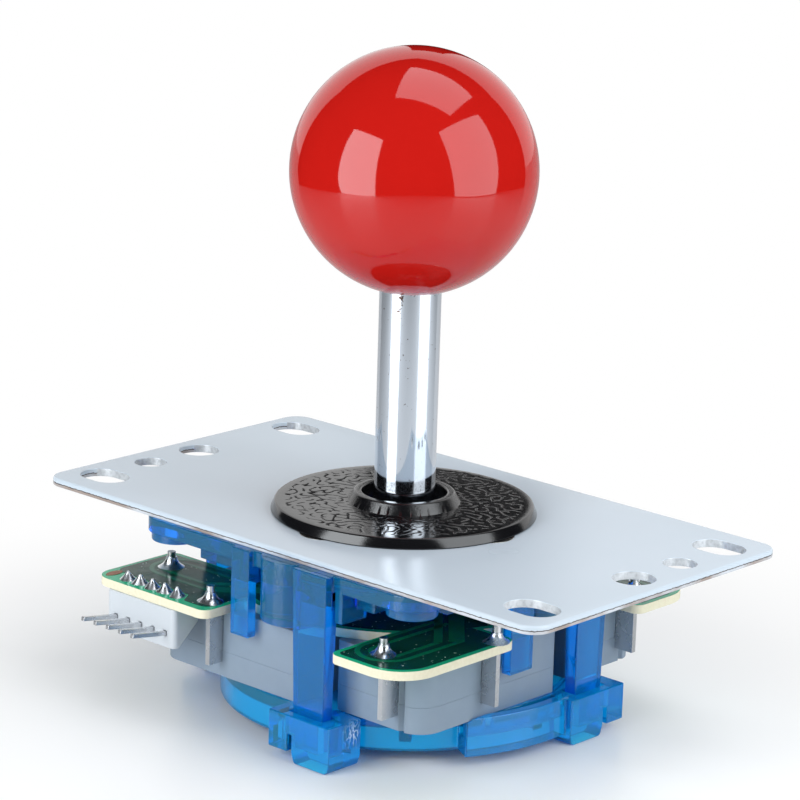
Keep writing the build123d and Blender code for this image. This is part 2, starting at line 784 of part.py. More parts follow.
# Gate: ribbed disc with a square opening for the actuator's neck, four footed blocks that take the body's legs
# and a proud rim with a trough at each end
leg_shrink = (deck_top - gate_top) * tan(radians(leg_draft_deg))
with BuildPart() as restrictor_gate:
    with BuildSketch(Plane.XZ):
        with BuildLine():
            Polyline(
                (0, gate_top),
                (gate_r, gate_top),
                (gate_r, gate_bottom),
                (gate_r - gate_wall, gate_bottom),
                (gate_r - gate_wall, gate_floor),
                (gate_collar_r, gate_floor),
                (gate_collar_r, gate_bottom + gate_collar_rise),
                (0, gate_bottom + gate_collar_rise),
                close=True,
            )
        make_face()
    revolve(axis=Axis.Z)
    with BuildSketch(Plane.XY.offset(gate_floor)):
        with PolarLocations((gate_collar_r + gate_r - gate_wall) / 2, gate_rib_count):
            Rectangle(gate_r - gate_collar_r, gate_rib_t)
    extrude(amount=gate_bottom + gate_rib_rise - gate_floor)
    # Blocks: the wide foot is first along the plate's ends and last along its sides
    for side in sides:
        wide_first = side % 2 == 0
        start = block_start if wide_first else block_end
        step = 1 if wide_first else -1
        notch_top = gate_bottom + foot_notch_h
        block_length = block_end - block_start
        outline = (
            (0, gate_top),
            (0, gate_bottom),
            (foot_draft, foot_bottom),
            (foot_wide - foot_draft, foot_bottom),
            (foot_wide, gate_bottom),
            (foot_wide, notch_top),
            (foot_wide + foot_gap, notch_top),
            (foot_wide + foot_gap, block_bottom),
            (block_length, block_bottom),
            (block_length, gate_top),
        )
        with BuildSketch(side_face(side, block_out)) as block:
            with BuildLine():
                Polyline([(start + step * u, z) for u, z in outline], close=True)
            make_face()
            fillet(block.vertices().group_by(Axis.Y)[0], foot_corner_r)
        extrude(amount=-block_depth)
    # Rims, cleared above for the switch that lies beside each
    for side in (0, 2):
        with BuildSketch(half_section(90 * side + rim_start_deg)):
            with BuildLine():
                Polyline(
                    (gate_r - gate_wall, gate_bottom),
                    (rim_r, gate_bottom),
                    (rim_r, gate_top + rim_rise),
                    (trough_out, gate_top + rim_rise),
                    (trough_out, gate_top - rim_trough_depth),
                    (trough_in, gate_top - rim_trough_depth),
                    (trough_in, gate_top),
                    (gate_r - gate_wall, gate_top),
                    close=True,
                )
            make_face()
        revolve(axis=Axis.Z, revolution_arc=rim_end_deg - rim_start_deg)
        with BuildSketch(side_plan(side, gate_top)):
            with Locations((switch_back_out + loose_clearance, switch_end)):
                Rectangle(switch_depth, switch_length, align=(Align.MAX, Align.MIN))
        extrude(amount=rim_rise, mode=Mode.SUBTRACT)
    with BuildSketch(Plane.XY.offset(gate_top)):
        with PolarLocations(0, len(sides)):
            with Locations((leg_face_out - leg_t / 2, leg_centre_along)):
                Rectangle(
                    leg_t - 2 * leg_shrink + 2 * pocket_clearance,
                    leg_width - 2 * leg_shrink + 2 * pocket_clearance,
                )
    extrude(amount=leg_end - pocket_clearance - gate_top, mode=Mode.SUBTRACT)
    with BuildSketch(Plane.XY.offset(gate_top)):
        RectangleRounded(2 * gate_half, 2 * gate_half, gate_corner_r)
    extrude(amount=-gate_h, mode=Mode.SUBTRACT)
export(restrictor_gate, "restrictor_gate")
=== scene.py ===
import math

import bmesh
import bpy
import numpy as np
from mathutils import Euler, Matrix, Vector


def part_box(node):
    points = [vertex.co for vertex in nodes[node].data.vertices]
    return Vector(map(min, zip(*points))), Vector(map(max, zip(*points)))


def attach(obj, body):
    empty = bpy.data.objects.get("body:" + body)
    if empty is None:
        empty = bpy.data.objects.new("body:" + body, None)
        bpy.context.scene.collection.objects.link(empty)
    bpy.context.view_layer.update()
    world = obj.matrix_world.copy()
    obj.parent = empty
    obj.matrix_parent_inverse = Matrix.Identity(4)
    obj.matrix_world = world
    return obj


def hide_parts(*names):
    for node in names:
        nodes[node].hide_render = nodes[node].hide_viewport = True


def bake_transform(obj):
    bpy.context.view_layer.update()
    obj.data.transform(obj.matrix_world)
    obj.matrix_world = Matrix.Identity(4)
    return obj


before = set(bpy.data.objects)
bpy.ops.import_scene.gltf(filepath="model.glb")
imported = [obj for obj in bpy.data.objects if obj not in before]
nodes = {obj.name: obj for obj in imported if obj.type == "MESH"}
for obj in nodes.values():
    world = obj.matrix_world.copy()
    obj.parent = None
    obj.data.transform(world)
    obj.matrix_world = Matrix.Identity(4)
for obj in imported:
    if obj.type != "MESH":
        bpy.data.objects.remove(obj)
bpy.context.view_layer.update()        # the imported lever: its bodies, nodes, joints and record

mm = 0.001
weldReach = 0.0002 * mm  # points nearer than this are one
nearlyStraight = 0.9999  # cosine at which two sides are taken as in line
easeAngle = 30  # degrees; edges that turn by more are eased
scene = bpy.context.scene
sideNames = ("right", "back", "left", "front")  # a quarter turn from one to the next


def linear(hexColour):  # sRGB hex to the linear colour that sockets take
    srgb = np.array([int(hexColour[i:i + 2], 16) for i in (1, 3, 5)]) / 255
    rgb = np.where(srgb <= 0.04045, srgb / 12.92, ((srgb + 0.055) / 1.055) ** 2.4)
    return (*rgb.tolist(), 1.0)


def span(end, pair):  # the two sockets of one end of a range
    return {end + " Min": pair[0], end + " Max": pair[1]}


def perMm(size):  # texture scale that gives features of this size in mm
    return 1 / (size * mm)


def addNode(tree, kind, inputs=None, **settings):
    # a shader node, its settings, and its inputs as links or values; a node as input means its first output in use
    node = tree.nodes.new("ShaderNode" + kind)
    for key, value in settings.items():
        setattr(node, key, value)
    for socket, value in (inputs or {}).items():
        if isinstance(value, bpy.types.Node):
            value = next(output for output in value.outputs if output.enabled)
        if isinstance(value, bpy.types.NodeSocket):
            tree.links.new(value, node.inputs[socket])
        else:
            node.inputs[socket].default_value = value
    return node


def startMaterial(name):
    material = bpy.data.materials.new(name)
    material.use_nodes = True
    tree = material.node_tree
    tree.nodes.clear()
    place = addNode(tree, "TexCoord").outputs["Object"]
    return material, tree, place


def closeMaterial(tree, sockets, volume=None):  # the shader and its output
    ends = {"Surface": addNode(tree, "BsdfPrincipled", sockets)}
    if volume is not None:
        ends["Volume"] = volume
    addNode(tree, "OutputMaterial", ends)


# Materials


def castResin():
    # Phenolic ball, cast and buffed: deep even red under a hard gloss, with a trace of waviness in its reflections
    look = {"red": "#b81913", "redShade": "#ae1611", "cloudMm": 11, "gloss": (0.03, 0.07), "ior": 1.5,
            "peelMm": 4.5, "peelDepth": 0.004}
    material, tree, place = startMaterial("resin_cast_buffed")
    cloud = addNode(tree, "TexNoise", {"Vector": place, "Scale": perMm(look["cloudMm"]), "Detail": 3.0})
    tint = addNode(tree, "Mix", {0: cloud, 6: linear(look["red"]), 7: linear(look["redShade"])}, data_type="RGBA")
    gloss = addNode(tree, "MapRange", {"Value": cloud, **span("To", look["gloss"])})
    peel = addNode(tree, "TexNoise", {"Vector": place, "Scale": perMm(look["peelMm"]), "Detail": 1.0})
    bump = addNode(tree, "Bump", {"Height": peel, "Distance": look["peelDepth"] * mm})
    closeMaterial(tree, {"Base Color": tint, "Roughness": gloss, "IOR": look["ior"], "Normal": bump})
    return material


def platedBar():
    # Steel bar, ground and chrome plated: a bluish mirror with fine drawn lines, a brown rubbed streak below the ball
    # and a few dark pits beside it; the pits also crowd into a dark band at the contact with the ball, as painted shade
    look = {"chrome": "#e1e8f1", "rust": "#5f4b44", "gloss": (0.03, 0.09), "lineMm": 0.25,
            "lineStretch": 0.04, "lineDepth": 0.0008, "streakAt": (1.83, -4.0), "streakReach": 0.75,
            "streakFromMm": 27.0, "streakToMm": 32.5, "ringFromMm": 32.0, "ringToMm": 33.4, "contactShade": 0.45,
            "pitMm": 0.5, "pitWear": 0.32, "pits": (0.7, 0.78)}
    material, tree, place = startMaterial("steel_chrome_plated")
    drawn = addNode(tree, "Mapping", {"Vector": place, "Scale": (1, 1, look["lineStretch"])})
    lines = addNode(tree, "TexNoise", {"Vector": drawn, "Scale": perMm(look["lineMm"]), "Detail": 3.0})
    gloss = addNode(tree, "MapRange", {"Value": lines, **span("To", look["gloss"])})
    axes = addNode(tree, "SeparateXYZ", {"Vector": place})
    flat = addNode(tree, "CombineXYZ", {"X": axes.outputs["X"], "Y": axes.outputs["Y"]})
    streakAt = (*(v * mm for v in look["streakAt"]), 0)
    aside = addNode(tree, "VectorMath", {0: flat, 1: streakAt}, operation="DISTANCE")
    beside = addNode(tree, "MapRange", {"Value": aside, "From Min": look["streakReach"] * mm, "From Max": 0.0})
    upper = addNode(tree, "MapRange", {"Value": axes.outputs["Z"], "From Min": look["streakFromMm"] * mm,
                                       "From Max": look["streakToMm"] * mm})
    streak = addNode(tree, "Math", {0: beside, 1: upper}, operation="MULTIPLY")
    # painted shade: towards the ball's underside the dark pits crowd into a dark band at the contact
    ring = addNode(tree, "MapRange", {"Value": axes.outputs["Z"], "From Min": look["ringFromMm"] * mm,
                                      "From Max": look["ringToMm"] * mm, "To Max": look["contactShade"]})
    # worn carries both the rubbed streak, which is real wear, and the painted shade at the ball's contact
    worn = addNode(tree, "Math", {0: streak, 1: ring}, operation="MAXIMUM")
    pits = addNode(tree, "TexNoise", {"Vector": place, "Scale": perMm(look["pitMm"]), "Detail": 2.0})
    raised = addNode(tree, "Math", {0: worn, 1: look["pitWear"], 2: pits}, operation="MULTIPLY_ADD")
    pitted = addNode(tree, "MapRange", {"Value": raised, **span("From", look["pits"])})
    # the rust colour paints the streak and the pits, and the painted shade at the ball's contact
    tint = addNode(tree, "Mix", {0: pitted, 6: linear(look["chrome"]), 7: linear(look["rust"])}, data_type="RGBA")
    bump = addNode(tree, "Bump", {"Height": lines, "Distance": look["lineDepth"] * mm})
    closeMaterial(tree, {"Base Color": tint, "Metallic": 1.0, "Roughness": gloss, "Normal": bump})
    return material


def mouldedBlack():
    # ABS moulded in a spark-eroded tool: black with a soft sheen, rough in the modelled grain's grooves and with their
    # reflection taken out there as painted shade, and with a rough sparkle on the collar
    look = {"black": "#0b0b0d", "worn": "#161618", "patchMm": 5, "gloss": (0.1, 0.17), "ior": 1.62,
            "specular": 0.5, "grooveRough": 0.9, "sparkMm": 0.15, "sparkDepth": 0.07, "faceFromMm": 8.4,
            "faceSpark": 0.08, "collarToMm": 7.6, "collarSpark": 0.5}
    material, tree, place = startMaterial("abs_black_moulded")
    patch = addNode(tree, "TexNoise", {"Vector": place, "Scale": perMm(look["patchMm"]), "Detail": 3.0})
    tint = addNode(tree, "Mix", {0: patch, 6: linear(look["black"]), 7: linear(look["worn"])}, data_type="RGBA")
    gloss = addNode(tree, "MapRange", {"Value": patch, **span("To", look["gloss"])})
    groove = addNode(tree, "Attribute", attribute_name="grain").outputs["Fac"]
    dull = addNode(tree, "Mix", {0: groove, 2: gloss, 3: look["grooveRough"]})
    # painted shade: the grooves lose their reflection, besides being rough
    shine = addNode(tree, "MapRange", {"Value": groove, "To Min": look["specular"], "To Max": 0.0})
    axes = addNode(tree, "SeparateXYZ", {"Vector": place})
    flat = addNode(tree, "CombineXYZ", {"X": axes.outputs["X"], "Y": axes.outputs["Y"]})
    out = addNode(tree, "VectorMath", {0: flat}, operation="LENGTH")
    rough = addNode(tree, "MapRange", {"Value": out, "From Min": look["faceFromMm"] * mm, "To Min": look["faceSpark"],
                                       "From Max": look["collarToMm"] * mm, "To Max": look["collarSpark"]})
    spark = addNode(tree, "TexNoise", {"Vector": place, "Scale": perMm(look["sparkMm"]), "Detail": 2.0})
    bump = addNode(tree, "Bump", {"Height": spark, "Distance": look["sparkDepth"] * mm, "Strength": rough})
    closeMaterial(tree, {"Base Color": tint, "Roughness": dull, "IOR": look["ior"], "Specular IOR Level": shine,
                         "Normal": bump})
    return material


def coatedSheet():
    # Sheet steel, coated pale grey before it was blanked: satin with fine tooth; the coat rolls over the outer edge
    # down to a torn dark line, and below it the broken steel is pale with brown patches; hole walls are lighter
    look = {"coat": "#c4cfd9", "coatShade": "#becad4", "cloudMm": 16, "gloss": (0.23, 0.29), "ior": 1.5,
            "toothMm": 0.35, "toothDepth": 0.008, "toothShare": 0.5, "tearMm": 0.5, "tearReach": 0.3,
            "coatDownTo": -0.62, "line": "#55504f", "lineDownTo": -0.76, "broken": "#c4c8ce", "rust": "#9a8c84",
            "rustMm": 12, "rustShare": (0.46, 0.6), "punched": "#d5d9dd", "punchedShade": "#bcc0c4",
            "speck": (0.42, 0.66), "punchedMetal": 0.3, "wallTilt": 0.5, "inside": {"X": 45.0, "Y": 24.5}}
    material, tree, place = startMaterial("steel_sheet_coated")
    axes = addNode(tree, "SeparateXYZ", {"Vector": place})
    facing = addNode(tree, "SeparateXYZ", {"Vector": addNode(tree, "NewGeometry").outputs["Normal"]})
    upright = addNode(tree, "Math", {0: facing.outputs["Z"]}, operation="ABSOLUTE")
    wall = addNode(tree, "Math", {0: upright, 1: look["wallTilt"]}, operation="LESS_THAN")
    within = []
    for axis, reach in look["inside"].items():  # holes lie inside this reach, the outer edge beyond it
        away = addNode(tree, "Math", {0: axes.outputs[axis]}, operation="ABSOLUTE")
        within.append(addNode(tree, "Math", {0: away, 1: reach * mm}, operation="LESS_THAN"))
    inside = addNode(tree, "Math", dict(enumerate(within)), operation="MULTIPLY")
    holeWall = addNode(tree, "Math", {0: inside, 1: wall}, operation="MULTIPLY")
    tear = addNode(tree, "TexNoise", {"Vector": place, "Scale": perMm(look["tearMm"]), "Detail": 4.0})
    ragged = addNode(tree, "Math", {0: tear, 1: look["tearReach"] * mm, 2: axes.outputs["Z"]}, operation="MULTIPLY_ADD")
    lift = look["tearReach"] / 2  # the tear's mean
    underCoat = addNode(tree, "Math", {0: ragged, 1: (look["coatDownTo"] + lift) * mm}, operation="LESS_THAN")
    underLine = addNode(tree, "Math", {0: ragged, 1: (look["lineDownTo"] + lift) * mm}, operation="LESS_THAN")
    cloud = addNode(tree, "TexNoise", {"Vector": place, "Scale": perMm(look["cloudMm"]), "Detail": 2.0})
    coat = addNode(tree, "Mix", {0: cloud, 6: linear(look["coat"]), 7: linear(look["coatShade"])}, data_type="RGBA")
    patch = addNode(tree, "TexNoise", {"Vector": place, "Scale": perMm(look["rustMm"]), "Detail": 4.0})
    rusty = addNode(tree, "MapRange", {"Value": patch, **span("From", look["rustShare"])})
    broken = addNode(tree, "Mix", {0: rusty, 6: linear(look["broken"]), 7: linear(look["rust"])}, data_type="RGBA")
    torn = addNode(tree, "Mix", {0: underLine, 6: linear(look["line"]), 7: broken}, data_type="RGBA")
    rim = addNode(tree, "Mix", {0: underCoat, 6: coat, 7: torn}, data_type="RGBA")
    speck = addNode(tree, "MapRange", {"Value": tear, **span("From", look["speck"])})
    punched = addNode(tree, "Mix", {0: speck, 6: linear(look["punched"]), 7: linear(look["punchedShade"])},
                      data_type="RGBA")
    sides = addNode(tree, "Mix", {0: inside, 6: rim, 7: punched}, data_type="RGBA")
    tint = addNode(tree, "Mix", {0: wall, 6: coat, 7: sides}, data_type="RGBA")
    shine = addNode(tree, "MapRange", {"Value": holeWall, "To Max": look["punchedMetal"]})
    gloss = addNode(tree, "MapRange", {"Value": cloud, **span("To", look["gloss"])})
    tooth = addNode(tree, "TexNoise", {"Vector": place, "Scale": perMm(look["toothMm"]), "Detail": 2.0})
    bump = addNode(tree, "Bump", {"Height": tooth, "Distance": look["toothDepth"] * mm, "Strength": look["toothShare"]})
    closeMaterial(tree, {"Base Color": tint, "Roughness": gloss, "IOR": look["ior"], "Metallic": shine, "Normal": bump})
    return material


def clearMoulding(name, surface, clear, dyeColour, dyePerM):
    # Polycarbonate, moulded clear with a blue dye: deep blue where light crosses much of it, cyan where it is thin,
    # with flow marks and a few pale scraped lines on the gate's front corner
    look = {"ior": 1.58, "specular": 0.35, "gloss": (0.03, 0.12), "flowMm": 3.0, "flowDepth": 0.02,
            "scuff": "#e6f3ff", "scuffClear": 0.1, "scuffAt": (14.8, -25.0, -23.6), "scuffReach": 2.6, "scuffMm": 0.7,
            "scuffStretch": 0.45, "scuffLevel": 0.5, "line": (0.06, 0.02)}
    material, tree, place = startMaterial(name)
    flow = addNode(tree, "TexNoise", {"Vector": place, "Scale": perMm(look["flowMm"]), "Detail": 2.0})
    gloss = addNode(tree, "MapRange", {"Value": flow, **span("To", look["gloss"])})
    bump = addNode(tree, "Bump", {"Height": flow, "Distance": look["flowDepth"] * mm})
    spot = addNode(tree, "VectorMath", {0: place, 1: tuple(v * mm for v in look["scuffAt"])}, operation="DISTANCE")
    near = addNode(tree, "MapRange", {"Value": spot, "From Min": look["scuffReach"] * mm, "From Max": 0.0})
    drawn = addNode(tree, "Mapping", {"Vector": place, "Scale": (1, 1, look["scuffStretch"])})
    marks = addNode(tree, "TexNoise", {"Vector": drawn, "Scale": perMm(look["scuffMm"]), "Detail": 2.0})
    level = addNode(tree, "Math", {0: marks, 1: look["scuffLevel"]}, operation="SUBTRACT")
    edge = addNode(tree, "Math", {0: level}, operation="ABSOLUTE")
    line = addNode(tree, "MapRange", {"Value": edge, **span("From", look["line"])})
    scuff = addNode(tree, "Math", {0: line, 1: near}, operation="MULTIPLY")
    tint = addNode(tree, "Mix", {0: scuff, 6: linear(surface), 7: linear(look["scuff"])}, data_type="RGBA")
    through = addNode(tree, "MapRange", {"Value": scuff, "To Min": clear, "To Max": look["scuffClear"]})
    dye = addNode(tree, "VolumeAbsorption", {"Color": linear(dyeColour), "Density": dyePerM})
    closeMaterial(tree, {"Base Color": tint, "Roughness": gloss, "IOR": look["ior"], "Normal": bump,
                         "Specular IOR Level": look["specular"], "Transmission Weight": through}, dye)
    return material


def plainPlastic(name, colour, shade, rough, grainMm, depth):
    # Moulded plastic: two close tones in soft clouds, and a fine tool grain
    look = {"cloudGrains": 12, "spread": 0.06, "ior": 1.5, "grainShare": 0.5}
    material, tree, place = startMaterial(name)
    cloud = addNode(tree, "TexNoise", {"Vector": place, "Scale": perMm(grainMm * look["cloudGrains"]), "Detail": 3.0})
    tint = addNode(tree, "Mix", {0: cloud, 6: linear(colour), 7: linear(shade)}, data_type="RGBA")
    gloss = addNode(tree, "MapRange", {"Value": cloud, **span("To", (rough - look["spread"], rough + look["spread"]))})
    grain = addNode(tree, "TexNoise", {"Vector": place, "Scale": perMm(grainMm), "Detail": 2.0})
    bump = addNode(tree, "Bump", {"Height": grain, "Distance": depth * mm, "Strength": look["grainShare"]})
    closeMaterial(tree, {"Base Color": tint, "Roughness": gloss, "IOR": look["ior"], "Normal": bump})
    return material


def plainMetal(name, colour, shade, rough, grainMm, depth):
    # Bare or plated metal: bright and dull spots with small dents from handling
    look = {"spread": 0.08, "dentShare": 0.6}
    material, tree, place = startMaterial(name)
    spots = addNode(tree, "TexNoise", {"Vector": place, "Scale": perMm(grainMm), "Detail": 4.0})
    tint = addNode(tree, "Mix", {0: spots, 6: linear(colour), 7: linear(shade)}, data_type="RGBA")
    gloss = addNode(tree, "MapRange", {"Value": spots, **span("To", (rough - look["spread"], rough + look["spread"]))})
    bump = addNode(tree, "Bump", {"Height": spots, "Distance": depth * mm, "Strength": look["dentShare"]})
    closeMaterial(tree, {"Base Color": tint, "Metallic": 1.0, "Roughness": gloss, "Normal": bump})
    return material


def boardStock():
    # Paper laminate with green solder resist: glossy bright green skin, cream sawn edge with coarse fibres
    look = {"resist": "#22b283", "resistShade": "#1ca576", "core": "#e9e4cd", "coreShade": "#d8d0b2", "skinTilt": 0.8,
            "rough": (0.8, 0.2), "ior": 1.5, "fibreMm": 0.5, "fibreDepth": 0.02, "fibreShare": 0.4}
    material, tree, place = startMaterial("laminate_green_resist")
    facing = addNode(tree, "SeparateXYZ", {"Vector": addNode(tree, "NewGeometry").outputs["Normal"]})
    upright = addNode(tree, "Math", {0: facing.outputs["Z"]}, operation="ABSOLUTE")
    skin = addNode(tree, "Math", {0: upright, 1: look["skinTilt"]}, operation="GREATER_THAN")
    fibre = addNode(tree, "TexNoise", {"Vector": place, "Scale": perMm(look["fibreMm"]), "Detail": 4.0})
    core, resist = (addNode(tree, "Mix", {0: fibre, 6: linear(look[part]), 7: linear(look[part + "Shade"])},
                            data_type="RGBA") for part in ("core", "resist"))
    tint = addNode(tree, "Mix", {0: skin, 6: core, 7: resist}, data_type="RGBA")
    gloss = addNode(tree, "MapRange", {"Value": skin, **span("To", look["rough"])})
    bump = addNode(tree, "Bump", {"Height": fibre, "Distance": look["fibreDepth"] * mm, "Strength": look["fibreShare"]})
    closeMaterial(tree, {"Base Color": tint, "Roughness": gloss, "IOR": look["ior"], "Normal": bump})
    return material


def resistOnCopper():
    # Solder resist over copper: near-black green gloss, a little wavy, with lint and dust on it
    look = {"green": "#0e4a3a", "deep": "#09362c", "cloudMm": 4, "rough": (0.18, 0.8), "ior": 1.5, "specular": 0.25,
            "waveDepth": 0.12, "waveShare": 0.5, "dust": "#dfe6e2", "dustMm": 0.45, "dustShare": (0.74, 0.765)}
    material, tree, place = startMaterial("copper_under_resist")
    cloud = addNode(tree, "TexNoise", {"Vector": place, "Scale": perMm(look["cloudMm"]), "Detail": 3.0})
    green = addNode(tree, "Mix", {0: cloud, 6: linear(look["green"]), 7: linear(look["deep"])}, data_type="RGBA")
    grit = addNode(tree, "TexNoise", {"Vector": place, "Scale": perMm(look["dustMm"]), "Detail": 1.0})
    dust = addNode(tree, "MapRange", {"Value": grit, **span("From", look["dustShare"])})
    tint = addNode(tree, "Mix", {0: dust, 6: green, 7: linear(look["dust"])}, data_type="RGBA")
    gloss = addNode(tree, "MapRange", {"Value": dust, **span("To", look["rough"])})
    bump = addNode(tree, "Bump", {"Height": cloud, "Distance": look["waveDepth"] * mm, "Strength": look["waveShare"]})
    closeMaterial(tree, {"Base Color": tint, "Roughness": gloss, "IOR": look["ior"], "Normal": bump,
                         "Specular IOR Level": look["specular"]})
    return material


# clear mouldings: name, surface, clear share, dye and its density per metre; plain plastics and metals: name, two
# tones, roughness, and the grain's size and depth in mm

finishes = {
    "red_plastic": castResin(),
    "chrome_shaft": platedBar(),
    "black_plastic": mouldedBlack(),
    "coated_plate": coatedSheet(),
    # the body and the gate are one clear blue polycarbonate; the body's copy is deeper, painted shade for its place
    # under the plate
    "clear_body": clearMoulding("polycarbonate_clear_blue_painted_shade", "#1cb8fe", 0.82, "#00defe", 400.0),
    "clear_gate": clearMoulding("polycarbonate_clear_blue", "#16c2fe", 0.77, "#00ecfe", 400.0),
    "circuit_board": boardStock(),
    "copper": resistOnCopper(),
    "trace": plainPlastic("resist_green_cured", "#0e7552", "#0b6646", 0.2, 0.3, 0.004),
    "bare_copper": plainMetal("copper_bare", "#c98a6e", "#8f6a58", 0.45, 0.3, 0.02),
    "brass_insert": plainMetal("brass_turned", "#c9a45a", "#b48d45", 0.3, 0.6, 0.01),
    "plated_screw": plainMetal("steel_zinc_plated", "#e6e5e0", "#c9c8c4", 0.24, 0.5, 0.01),
    "spring_steel": plainMetal("steel_spring_drawn", "#a9acb0", "#7e8186", 0.25, 0.4, 0.005),
    "tin": plainMetal("brass_tin_plated", "#d6d7d9", "#cccdd0", 0.26, 1.6, 0.004),
    "solder": plainMetal("solder_flowed", "#eef1f4", "#dfe3e8", 0.28, 0.9, 0.012),
    "white_acetal": plainPlastic("acetal_white_moulded", "#e4e5e2", "#d8dad6", 0.4, 0.3, 0.01),
    "white_nylon": plainPlastic("nylon_white_moulded", "#c8cdd2", "#c0c6cc", 0.42, 0.35, 0.012),
    "grey_switch": plainPlastic("pbt_grey_moulded", "#8594a4", "#7e8d9d", 0.42, 0.22, 0.008),
    "black_plunger": plainPlastic("acetal_black_moulded", "#141416", "#1c1c1e", 0.35, 0.25, 0.01),
}
print("materials:", len(finishes))

# Surfaces


def gridMesh(name, points):
    # points[..., i, j] is the surface at step i of one parameter and step j of the other; neighbours make quads,
    # and equal points at seams and poles are welded
    rows, cols = points.shape[-3:-1]
    shells = points.reshape(-1, rows, cols, 3)
    index = np.arange(shells.size // 3).reshape(-1, rows, cols)
    quads = np.stack([index[:, :-1, :-1], index[:, :-1, 1:], index[:, 1:, 1:], index[:, 1:, :-1]], axis=-1)
    return weldedMesh(name, shells.reshape(-1, 3), quads.reshape(-1, 4), turnOut=True)


def weldedMesh(name, vertices, faces, turnOut=False):
    mesh = bpy.data.meshes.new(name)
    mesh.from_pydata(vertices.tolist(), [], faces.tolist())
    work = bmesh.new()
    work.from_mesh(mesh)
    bmesh.ops.remove_doubles(work, verts=work.verts, dist=weldReach)
    if turnOut:
        bmesh.ops.dissolve_degenerate(work, edges=work.edges, dist=weldReach / 2)
        bmesh.ops.recalc_face_normals(work, faces=work.faces)
    work.to_mesh(mesh)
    work.free()
    return mesh


def addPiece(mesh, finish, body, slot, *replaced, sharp=40):
    mesh.shade_smooth()
    mesh.set_sharp_from_angle(angle=math.radians(sharp))
    mesh.materials.append(finishes[finish])
    piece = bpy.data.objects.new(mesh.name, mesh)
    scene.collection.objects.link(piece)
    if body:
        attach(piece, body)
    if replaced:
        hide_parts(*replaced)
    return piece


def lathe(profile, steps):
    # the profile's radius and height, carried round the vertical axis
    turn = np.linspace(0, 2 * np.pi, steps + 1)
    radius, height = profile[:, 0, None], profile[:, 1, None]
    return np.stack([radius * np.cos(turn), radius * np.sin(turn), height + 0 * turn], axis=-1)


def rounded(corners, radii, steps=6, closed=True):
    # every corner of the outline becomes an arc of its radius, tangent to the sides that meet there
    corner = np.array(corners, float)
    toPrev = np.roll(corner, 1, 0) - corner
    toNext = np.roll(corner, -1, 0) - corner
    toPrev /= np.linalg.norm(toPrev, axis=1, keepdims=True)
    toNext /= np.linalg.norm(toNext, axis=1, keepdims=True)
    half = 0.5 * np.arccos(np.clip((toPrev * toNext).sum(1), -nearlyStraight, nearlyStraight))[:, None]
    radius = np.broadcast_to(np.array(radii, float), len(corner))[:, None]
    middle = toPrev + toNext
    centre = corner + middle / np.linalg.norm(middle, axis=1, keepdims=True) * radius / np.sin(half)
    begin = corner + toPrev * radius / np.tan(half) - centre
    end = corner + toNext * radius / np.tan(half) - centre
    sweep = (np.pi - 2 * half)[..., None]
    share = np.linspace(0, 1, steps)[None, :, None]
    arc = (np.sin((1 - share) * sweep) * begin[:, None] + np.sin(share * sweep) * end[:, None]) / np.sin(sweep)
    outline = (centre[:, None] + arc).reshape(-1, 2)
    return np.vstack([outline, outline[:1]]) if closed else outline


def filled(profile, step):
    # the same outline with points added, evenly along its length, so that none of its sides is longer than the step
    length = np.concatenate([[0], np.cumsum(np.linalg.norm(np.diff(profile, axis=0), axis=1))])
    places = np.union1d(length, np.arange(0, length[-1], step))
    return np.stack([np.interp(places, length, profile[:, axis]) for axis in (0, 1)], 1)


def turned(points, side):  # a quarter turn for each side
    turn = side * np.pi / 2
    x, y, z = np.moveaxis(points, -1, 0)
    return np.stack([x * np.cos(turn) - y * np.sin(turn), x * np.sin(turn) + y * np.cos(turn), z], axis=-1)


def nodeMesh(node, name):  # a CAD node's triangles, merged
    source = nodes[node].data
    vertices = np.empty(len(source.vertices) * 3)
    source.vertices.foreach_get("co", vertices)
    corners = np.empty(len(source.polygons) * 3, dtype=np.int64)
    source.polygons.foreach_get("vertices", corners)
    return weldedMesh(name, vertices.reshape(-1, 3), corners.reshape(-1, 3))


def eased(node, name, finish, slot, edge):
    # the node's own shape with its sharp edges eased by a small round
    piece = addPiece(nodeMesh(node, name), finish, "base", slot, node, sharp=easeAngle)
    bevel = piece.modifiers.new("ease", "BEVEL")
    bevel.width = edge * mm
    bevel.segments = 2
    bevel.limit_method = "ANGLE"
    bevel.angle_limit = math.radians(easeAngle)
    bevel.use_clamp_overlap = False  # one short edge would hold back all the others
    bevel.loop_slide = False  # corners stay put instead of running along flat triangles' sides
    bevel.harden_normals = True


def slab(outline, low, high, middle=None):
    # a flat plate: the outline at both heights, closed above and below to a middle from which all of it is seen
    top = np.column_stack([outline, np.full(len(outline), high)])
    under = np.column_stack([outline, np.full(len(outline), low)])
    middle = outline[:-1].mean(0) if middle is None else middle
    crown = np.broadcast_to([*middle, high], top.shape)
    foot = np.broadcast_to([*middle, low], top.shape)
    return np.stack([crown, top, under, foot])


def strip(path, width, low, high):
    # a flat rectangle carried along the path, closed at both ends
    ahead = np.gradient(path, axis=0)
    ahead /= np.linalg.norm(ahead, axis=1, keepdims=True)
    aside = np.stack([-ahead[:, 1], ahead[:, 0]], 1) * width / 2
    left, right = path + aside, path - aside
    level = np.ones(len(path))
    corners = ((left, low), (left, high), (right, high), (right, low), (left, low))
    tube = np.stack([np.column_stack([edge, level * z]) for edge, z in corners], 1)
    ends = tube[[0, -1], :4].mean(1, keepdims=True) + 0 * tube[[0, -1]]
    return np.concatenate([ends[:1], tube, ends[1:]])


